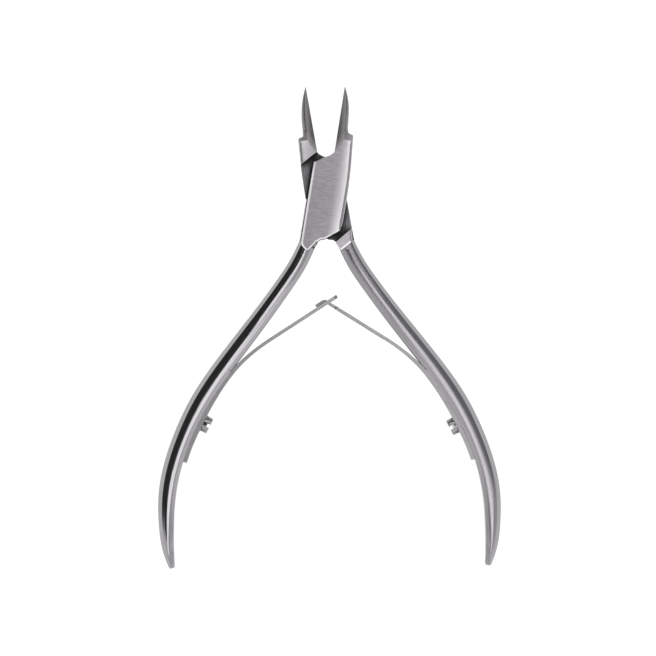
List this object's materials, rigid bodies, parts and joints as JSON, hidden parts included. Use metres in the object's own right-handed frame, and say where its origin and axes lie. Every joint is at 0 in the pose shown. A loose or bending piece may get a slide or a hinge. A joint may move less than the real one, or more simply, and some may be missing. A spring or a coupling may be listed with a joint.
{
  "type": "cuticle nipper",
  "caption": "Hand nipper with pointed cutting jaws, a lap joint on a pivot screw, bowed handles and interlocking leaf springs.",
  "frame": {"origin": "on the pivot axis, in the back face of the joint, which is the plane the tool lies on", "axes": "+Z along the pivot axis towards the front plate, +Y towards the jaw tips, +X to the right seen from the front"},
  "size_m": [0.0924, 0.1299, 0.0076],
  "materials": {
    "front_half": "polished",
    "rear_half": "polished",
    "pivot_screw": "satin",
    "springs": "satin",
    "screws": "polished",
    "pegs": "satin"
  },
  "bodies": {
    "front": {"front_half": "front_half", "pivot_screw": "pivot_screw", "left_spring_screw": "screws", "left_spring_peg": "pegs"},
    "rear": {"rear_half": "rear_half", "right_spring_screw": "screws", "right_spring_peg": "pegs"},
    "left_leaf": {"left_spring": "springs"},
    "right_leaf": {"right_spring": "springs"}
  },
  "joints": [
    {"name": "jaw_pivot", "type": "hinge", "parent": "front", "child": "rear", "pos_m": [0, 0, 0.0038], "axis": [0, 0, 1], "range_deg": [-19.4, 2], "stiffness_Nm_per_rad": 3},
    {"name": "left_leaf_bend", "type": "hinge", "parent": "front", "child": "left_leaf", "pos_m": [-0.02016, -0.04087, 0.0038], "axis": [0, 0, 1], "range_deg": [-1.6, 14.6], "deforming": ["left_spring"]},
    {"name": "right_leaf_bend", "type": "hinge", "parent": "rear", "child": "right_leaf", "pos_m": [0.02016, -0.04087, 0.0038], "axis": [0, 0, 1], "range_deg": [-14.6, 1.6], "deforming": ["right_spring"]}
  ],
  "couplings": [
    {"joint": "left_leaf_bend", "follows": "jaw_pivot", "ratio": -0.748},
    {"joint": "right_leaf_bend", "follows": "jaw_pivot", "ratio": 0.748}
  ]
}
